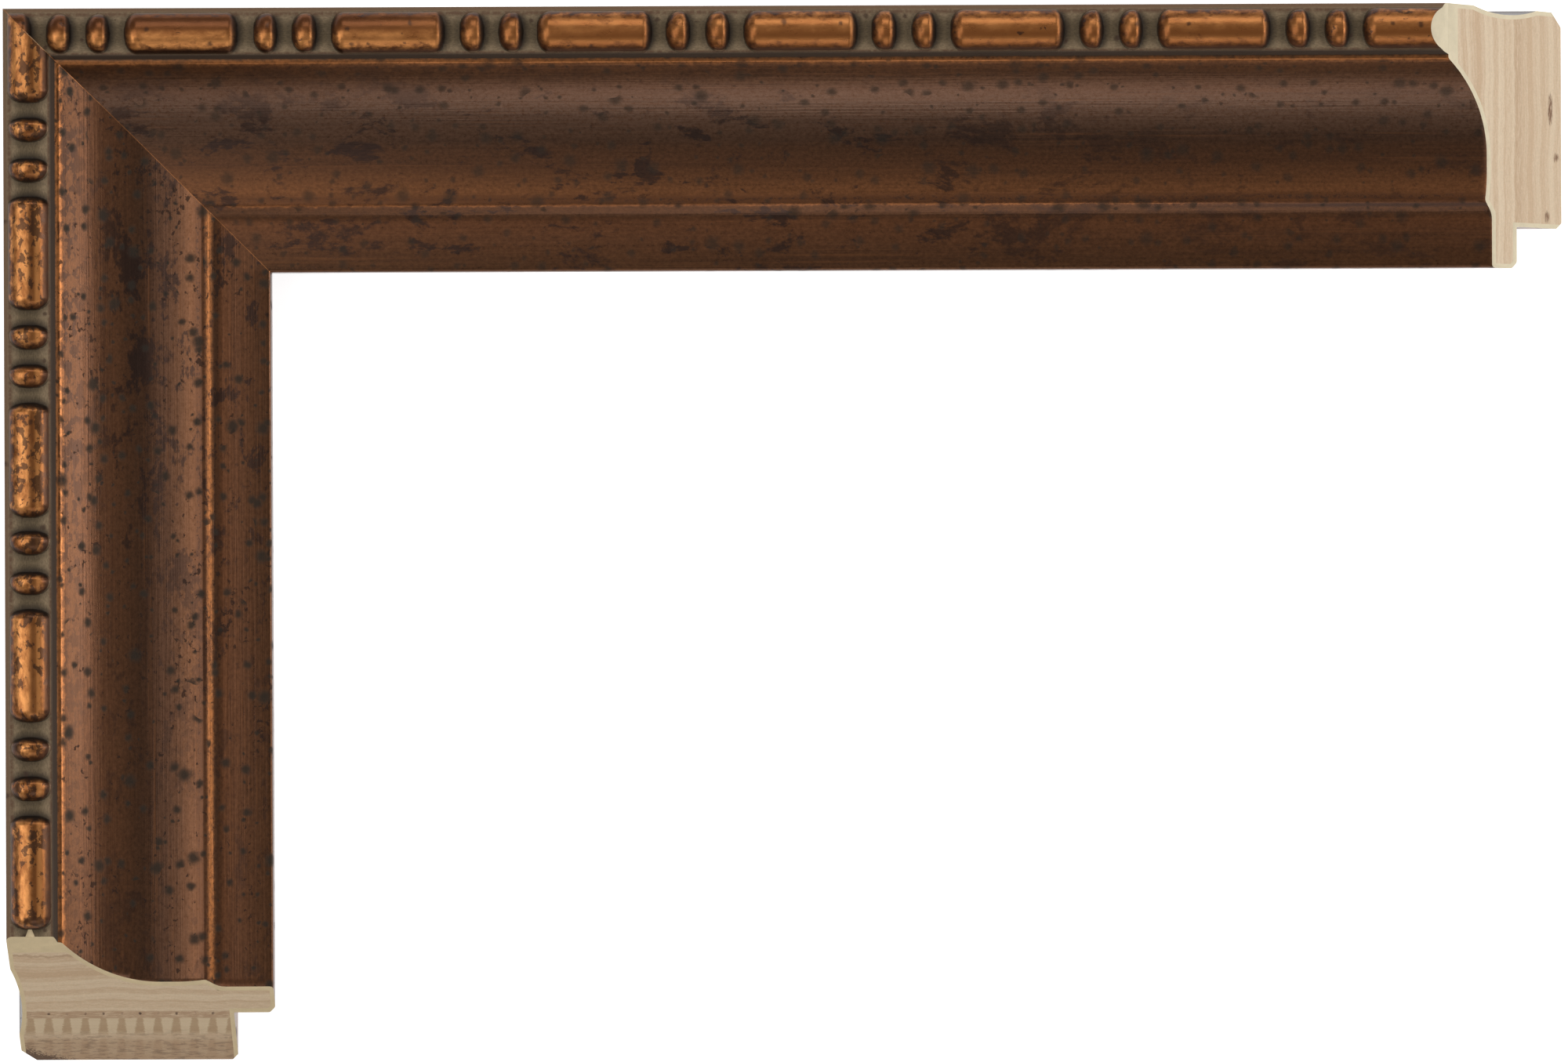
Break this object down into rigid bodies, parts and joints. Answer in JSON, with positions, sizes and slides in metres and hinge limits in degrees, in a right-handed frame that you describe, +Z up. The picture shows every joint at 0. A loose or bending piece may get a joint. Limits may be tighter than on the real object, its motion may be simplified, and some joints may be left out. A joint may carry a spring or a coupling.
{
  "type": "picture frame moulding",
  "caption": "Mitred corner sample of picture frame moulding: coated wood with a bar-and-bead outer edge, a scooped face and a rabbet, its free ends sawn at a slope.",
  "frame": {"origin": "centre of the bounding box, on the floor the moulding lies on", "axes": "+X along the long leg from the mitre to its free end, +Y towards the long leg's outer edge, +Z up out of the face"},
  "size_m": [0.3236, 0.2184, 0.0304],
  "materials": {
    "wood": "bare sawn softwood",
    "coat": "chalk composition under a distressed bronze paint, satin"
  },
  "bodies": {
    "root": {"long_leg_wood": "wood", "long_leg_coat": "coat", "short_leg_wood": "wood", "short_leg_coat": "coat"}
  },
  "joints": []
}
